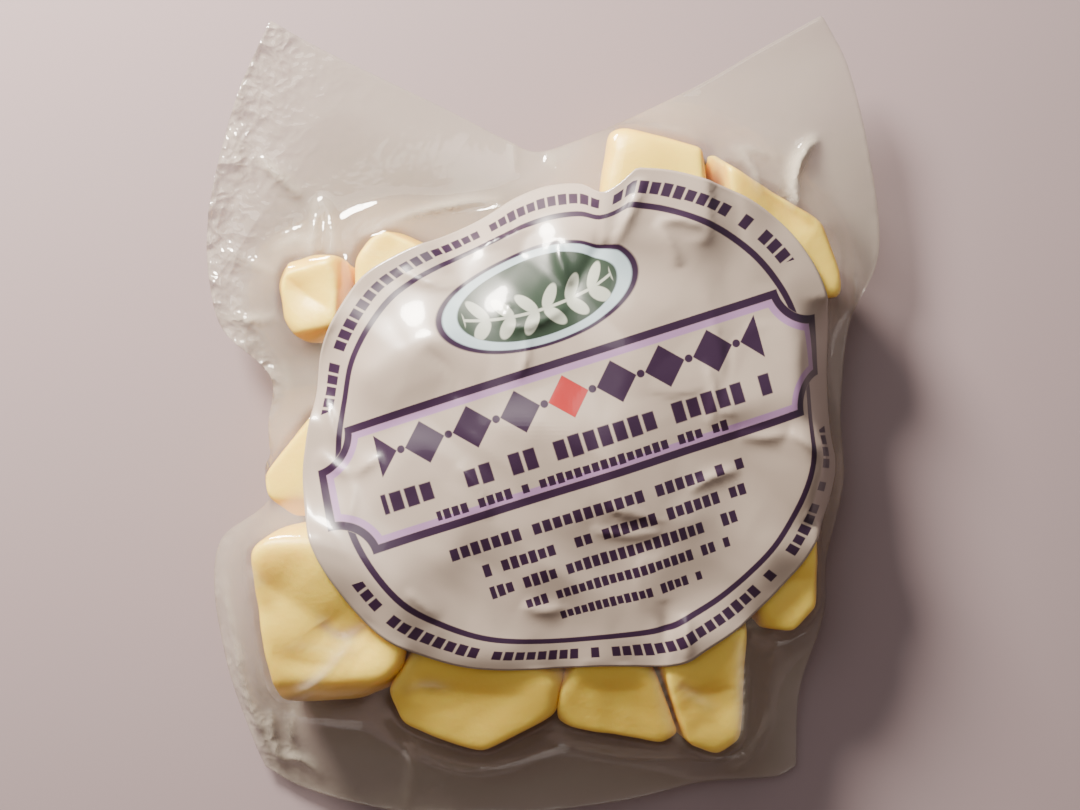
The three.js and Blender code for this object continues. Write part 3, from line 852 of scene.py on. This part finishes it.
def filmMaterial():
    n = Nodes(bpy.data.materials.new("film"))
    look = filmLook
    place = n.add("ShaderNodeTexCoord").outputs["Object"]
    off, loose = (n.value("ShaderNodeAttribute", "Fac", attribute_name=name)
                  for name in ("standsOff", "crinkled"))
    height = 0.0
    for scale, share, bend in look["ridges"]:
        noise = n.value("ShaderNodeTexNoise", "Fac", {
            "Vector": place, "Scale": scale, "Detail": 1.0, "Distortion": bend})
        height = n.math("MULTIPLY_ADD", abs(noise - 0.5), -2.0 * share, height)
    bump = n.add("ShaderNodeBump", {
        "Distance": look["ridgeHigh"], "Height": height,
        "Strength": n.math("MULTIPLY_ADD", loose, *look["crinkle"])}).outputs["Normal"]
    clear = n.add("ShaderNodeBsdfTransparent", {"Color": look["tint"]})
    milk = n.add("ShaderNodeBsdfDiffuse", {"Color": (*colours["haze"], 1), "Normal": bump})
    gloss = n.add("ShaderNodeBsdfGlossy", {"Roughness": look["roughness"], "Normal": bump})
    milky = n.mixShader(n.math("MULTIPLY_ADD", off, *look["haze"]), clear, milk)
    facing = n.value("ShaderNodeLayerWeight", "Facing", {"Blend": 0.5})
    shine = n.math("MULTIPLY_ADD", facing ** look["grazing"], *look["gloss"])
    return n.finish(n.mixShader(shine, milky, gloss))


# The print, in millimetres on the flat label (u along it, v across)
labelPrint = {
    "ring": {"at": 0.866, "halfLine": 0.55, "halfAcross": 49.0},    # at this share of the label's reach
    "band": {"at": 1.5, "halfLong": 49.5, "halfHigh": 12.2, "bite": 6.5, "line": 1.5, "inner": 1.3},
    "medal": {"at": 26.0, "halfLong": 19.0, "halfHigh": 9.2, "field": 0.82, "soft": 0.01,
              "halfLine": 0.035, "lineSoft": 0.012},
    "leaf": {"pitch": 4.6, "halfLong": 2.55, "halfWide": 1.15, "lean": math.radians(52), "reach": 14.5,
             "fromStem": 1.9, "halfStem": 0.28, "bow": 0.012, "stemAt": -2.6},
    "beads": {"at": 6.4, "pitch": 9.4, "halfLong": 3.9, "halfHigh": 4.1, "reach": 37.6, "dot": 0.75,
              "soft": 0.03},
    "rows": [               # v, half height, half length, block pitch
        (-2.6, 2.0, 39, 2.9), (-7.6, 1.0, 30, 1.7), (-15.4, 1.2, 30, 2.0), (-20.2, 1.2, 27, 1.8),
        (-24.6, 1.2, 25, 1.7), (-28.8, 1.0, 21, 1.5), (-33.0, 0.9, 14, 1.4)],
    "rim": {"at": 0.932, "half": 0.023, "pitch": 2.15, "radius": 46.0, "fromBand": 4},
    "seeds": (7, 40.0, 501.0),      # of the first row, from row to row, and of the rim
    "block": {"tall": (0.3, 0.75), "tallSoft": 0.06, "half": 0.39, "soft": 0.04, "gaps": 0.16},
    "roughness": 0.34,
    "coat": 0.35,
    "coatRoughness": 0.07,
}


# A row of small blocks: each block's height is drawn, and a low draw leaves a gap
def blockRow(n, along, across, halfHigh, pitch, seed):
    block = labelPrint["block"]
    step = along / pitch
    cell = n.math("FLOOR", step)
    draw = n.value("ShaderNodeTexWhiteNoise", "Value", {"W": cell + seed}, noise_dimensions="1D")
    tall = n.math("MULTIPLY_ADD", draw, *(share * halfHigh for share in block["tall"]))
    inside = n.below(abs(across) - tall, 0.0, block["tallSoft"] * halfHigh)
    filled = n.below(abs(step - cell - 0.5), block["half"], block["soft"])
    return inside * filled * n.math("GREATER_THAN", draw, block["gaps"])


# The band: how far a point lies outside a long ticket whose corners are bitten out by circles
def ticketAway(n, au, fromBand):
    band = labelPrint["band"]
    overLong, overHigh = au - band["halfLong"], fromBand - band["halfHigh"]
    return n.most(overLong, overHigh, band["bite"] - n.away(overLong, overHigh))


# Leaves in pairs along a bowed stem, each an oval that leans outwards
def leafSpray(n, au, mv):
    leaf = labelPrint["leaf"]
    leanCos, leanSin = math.cos(leaf["lean"]), math.sin(leaf["lean"])
    fromStem = abs(mv - n.math("MULTIPLY_ADD", au * au, leaf["bow"], leaf["stemAt"]))
    a = n.math("FRACT", au / leaf["pitch"]) * leaf["pitch"] - leaf["pitch"] / 2
    b = fromStem - leaf["fromStem"]
    lengthwise = (a * leanCos + b * leanSin) / leaf["halfLong"]
    crosswise = (b * leanCos - a * leanSin) / leaf["halfWide"]
    blades = n.below(n.away(lengthwise, crosswise), 1.0)
    return n.most(blades, n.below(fromStem, leaf["halfStem"])) * n.below(au, leaf["reach"])


# Lozenges in a row with a dot between each two; the middle one is also given alone
def beadRow(n, u, au, v):
    beads = labelPrint["beads"]
    pitch = beads["pitch"]
    bv = v - beads["at"]
    bu = abs(n.math("FRACT", u / pitch + 0.5) * pitch - pitch / 2)
    lozenges = n.below(bu / beads["halfLong"] + abs(bv) / beads["halfHigh"], 1.0, beads["soft"])
    dots = n.below(n.away(pitch / 2 - bu, bv), beads["dot"])
    return n.most(lozenges, dots) * n.below(au, beads["reach"]), lozenges * n.below(au, pitch / 2)


# The ink of all lines, rows and blocks goes over the fields of colour, and the red lozenge over the ink
def labelMaterial():
    n = Nodes(bpy.data.materials.new("label_print"))
    flat = n.add("ShaderNodeUVMap", uv_map="flat")
    axes = n.add("ShaderNodeSeparateXYZ", {"Vector": flat.outputs[0]})
    span = label["mapSpan"]
    u, v = (n.math("MULTIPLY_ADD", axes.outputs[axis], span, -span / 2) for axis in ("X", "Y"))
    au, av = abs(u), abs(v)
    power = label["squareness"]
    reach = ((au / (label["long"] / 2)) ** power + (av / (label["across"] / 2)) ** power) ** (1 / power)

    band, medal, ring, rim = (labelPrint[part] for part in ("band", "medal", "ring", "rim"))
    fromBand = abs(v - band["at"])
    ticket = ticketAway(n, au, fromBand)
    line = n.below(abs(ticket + band["line"] / 2), band["line"] / 2)
    lilac = n.below(abs(ticket + (band["line"] + band["inner"] / 2)), band["inner"] / 2)
    ringLine = n.below(abs(reach - ring["at"]) * ring["halfAcross"], ring["halfLine"])
    ringLine = ringLine * (1.0 - n.below(ticket, 0.0))

    mv = v - medal["at"]
    medalReach = n.away(au / medal["halfLong"], mv / medal["halfHigh"])
    sky = n.below(medalReach, 1.0, medal["soft"])
    field = n.below(medalReach, medal["field"], medal["soft"])
    medalLine = n.below(abs(medalReach - 1.0), medal["halfLine"], medal["lineSoft"])

    beads, middleBead = beadRow(n, u, au, v)
    ink = n.most(line, ringLine, beads, medalLine)
    firstSeed, nextSeed, rimSeed = labelPrint["seeds"]
    for number, (at, halfHigh, halfLong, pitch) in enumerate(labelPrint["rows"]):
        blocks = blockRow(n, u, v - at, halfHigh, pitch, nextSeed * number + firstSeed)
        ink = n.most(ink, blocks * n.below(au, halfLong))
    sweep = n.math("ARCTAN2", v, u) * rim["radius"]
    rimBlocks = blockRow(n, sweep, reach - rim["at"], rim["half"], rim["pitch"], rimSeed)
    offBand = n.math("GREATER_THAN", fromBand, band["halfHigh"] + rim["fromBand"])
    ink = n.most(ink, rimBlocks * offBand)

    layers = ((sky, "sky"), (field, "leafDark"), (leafSpray(n, au, mv) * field, "spray"),
              (lilac, "lilac"), (ink, "ink"), (middleBead, "red"))
    colour = colours["paper"]
    for amount, name in layers:
        colour = n.mix(amount, colour, colours[name])
    return n.finish(n.add("ShaderNodeBsdfPrincipled", {
        "Base Color": colour, "Roughness": labelPrint["roughness"], "Coat Weight": labelPrint["coat"],
        "Coat Roughness": labelPrint["coatRoughness"]}))


print("pouch: finishes")
film.data.materials.append(filmMaterial())
paper.data.materials.append(labelMaterial())
cheeseFinish = cheeseMaterial()
for chunk in cheese:
    chunk.data.materials.append(cheeseFinish)

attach(film, "root")
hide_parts("pouch")
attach(paper, "root")
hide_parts("label")
for chunk in cheese:
    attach(chunk, "root")


# The floor, lights, sky and camera; the camera's place is in millimetres, the rest in metres
stage = {
    "cameraAt": (-0.6, 3.2, 300),
    "lens": 48.8,
    "sensor": 36,
    "clipStart": 0.01,
    "floorSize": 6.0,
    "floorAt": -0.0002,
    "lights": {             # direction, distance, size, power and colour
        "key": ((-0.5, 0.78, 0.5), 0.42, 0.13, 10.2, (1.0, 0.93, 0.83)),
        "fill": ((-0.3, 0.5, 1.0), 0.9, 0.55, 2.0, (1.0, 0.95, 0.92)),
    },
    "sky": (0.82, 0.78, 0.79),
    "skyLow": (0.30, 0.175, 0.105),     # the warmer, darker side towards -y
    "skyFrom": -0.8,
    "skyTo": 0.5,
    "skyStrength": 0.5,
}


def makeFloor():
    size = stage["floorSize"] / 2
    corners = [(*corner, 0) for corner in block(0, 0, size, size, 0)]
    mesh = bpy.data.meshes.new("floor")
    mesh.from_pydata(corners, [], [(0, 1, 2, 3)])
    n = Nodes(bpy.data.materials.new("floor"))
    mesh.materials.append(n.finish(n.add("ShaderNodeBsdfDiffuse", {"Color": (*colours["floor"], 1)})))
    floor = bpy.data.objects.new("floor", mesh)
    floor.location.z = stage["floorAt"]
    bpy.context.scene.collection.objects.link(floor)


def areaLight(name, way, away, size, power, colour):
    data = bpy.data.lights.new(name, "AREA")
    data.shape = "DISK"
    data.size = size
    data.energy = power
    data.color = colour
    lamp = bpy.data.objects.new(name, data)
    toward = Vector(way).normalized()
    lamp.location = toward * away
    lamp.rotation_euler = toward.to_track_quat("Z", "Y").to_euler()
    bpy.context.scene.collection.objects.link(lamp)


# The sky's colour goes from one side of the world to the other along y
def makeSky():
    n = Nodes(bpy.data.worlds.new("studio"), "ShaderNodeOutputWorld")
    way = n.add("ShaderNodeTexCoord").outputs["Generated"]
    along = n.value("ShaderNodeSeparateXYZ", "Y", {"Vector": way})
    share = n.value("ShaderNodeMapRange", "Result", {
        "Value": along, "From Min": stage["skyFrom"], "From Max": stage["skyTo"]})
    sky = n.mix(share, stage["skyLow"], stage["sky"])
    bpy.context.scene.world = n.finish(n.add("ShaderNodeBackground", {
        "Color": sky, "Strength": stage["skyStrength"]}))


def makeCamera():
    data = bpy.data.cameras.new("camera")
    data.lens = stage["lens"]
    data.sensor_width = stage["sensor"]
    data.clip_start = stage["clipStart"]
    camera = bpy.data.objects.new("camera", data)
    camera.location = [value * mm for value in stage["cameraAt"]]
    bpy.context.scene.collection.objects.link(camera)
    bpy.context.scene.camera = camera


makeFloor()
for name, (way, away, size, power, colour) in stage["lights"].items():
    areaLight(name, way, away, size, power, colour)
makeSky()
makeCamera()
print("stage: ready")

bpy.context.view_layer.update()
